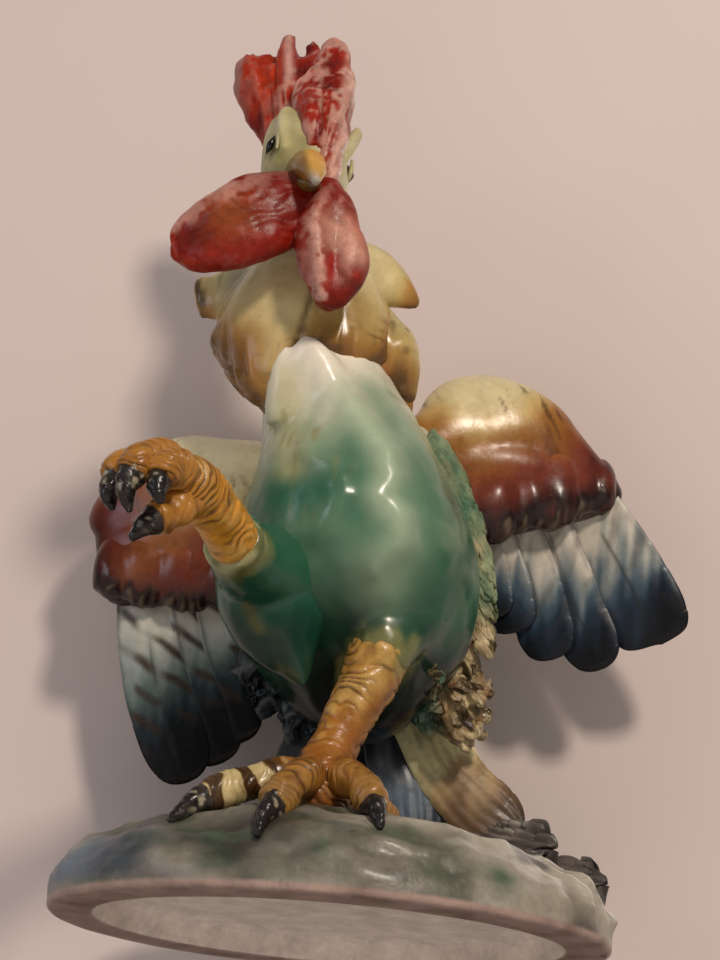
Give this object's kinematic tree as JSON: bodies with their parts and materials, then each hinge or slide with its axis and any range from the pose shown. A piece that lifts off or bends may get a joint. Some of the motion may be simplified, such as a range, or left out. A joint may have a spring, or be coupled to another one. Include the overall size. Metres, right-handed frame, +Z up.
{
  "type": "rooster figurine",
  "caption": "Glazed ceramic rooster figurine strutting on one leg with half-open wings, drooping tail and large comb, on an oval mound base.",
  "frame": {"origin": "centre of the base's foot ring, on the table", "axes": "+Z up; the bird's breast faces -Y; its left side is +X"},
  "size_m": [0.1935, 0.1595, 0.2876],
  "materials": {
    "mound_glaze": "glossy mottled grey-green glaze",
    "green_glaze": "glossy green glaze running to cream",
    "leg_glaze": "glossy amber glaze with brown lines",
    "claw_glaze": "glossy black-brown glaze",
    "hackle_glaze": "glossy straw-yellow glaze running to amber",
    "cream_glaze": "satin cream glaze",
    "eye_glaze": "glossy black glaze",
    "beak_glaze": "glossy ochre glaze",
    "red_glaze": "glossy red glaze rubbed through to pale clay",
    "shoulder_glaze": "glossy cream glaze running to amber",
    "oxblood_glaze": "very glossy oxblood glaze",
    "flight_glaze": "glossy slate-blue glaze, white at the root and black at the tip",
    "tail_glaze": "glossy slate and brown glaze",
    "tuft_glaze": "thin olive-beige glaze over ragged clay"
  },
  "bodies": {
    "root": {"base": "mound_glaze", "body": "green_glaze", "right_thigh": "green_glaze", "left_thigh": "green_glaze", "left_shank": "leg_glaze", "left_inner_toe": "leg_glaze", "left_middle_toe": "leg_glaze", "left_outer_toe": "leg_glaze", "left_hind_toe": "leg_glaze", "left_claws": "claw_glaze", "right_shank": "leg_glaze", "right_outer_toe": "leg_glaze", "right_middle_toe": "leg_glaze", "right_inner_toe": "leg_glaze", "right_hind_toe": "leg_glaze", "right_claws": "claw_glaze", "neck": "hackle_glaze", "upper_hackle": "hackle_glaze", "lower_hackle": "hackle_glaze", "head": "cream_glaze", "brow_ridges": "cream_glaze", "eyes": "eye_glaze", "upper_beak": "beak_glaze", "lower_beak": "beak_glaze", "comb": "red_glaze", "right_wattle": "red_glaze", "left_wattle": "red_glaze", "left_wing_shoulder": "shoulder_glaze", "left_wing_band": "oxblood_glaze", "left_flight_1": "flight_glaze", "left_flight_2": "flight_glaze", "left_flight_3": "flight_glaze", "left_flight_4": "flight_glaze", "left_flight_5": "flight_glaze", "right_wing_shoulder": "shoulder_glaze", "right_wing_band": "oxblood_glaze", "right_flight_1": "flight_glaze", "right_flight_2": "flight_glaze", "right_flight_3": "flight_glaze", "right_flight_4": "flight_glaze", "right_flight_5": "flight_glaze", "rump": "green_glaze", "tail_1": "tail_glaze", "tail_2": "tail_glaze", "tail_3": "tail_glaze", "tail_4": "tail_glaze", "tail_5": "tail_glaze", "tail_6": "tail_glaze", "tail_7": "tail_glaze", "left_flank_tufts": "tuft_glaze", "right_flank_tufts": "tuft_glaze", "rump_tufts": "tuft_glaze"}
  },
  "joints": []
}
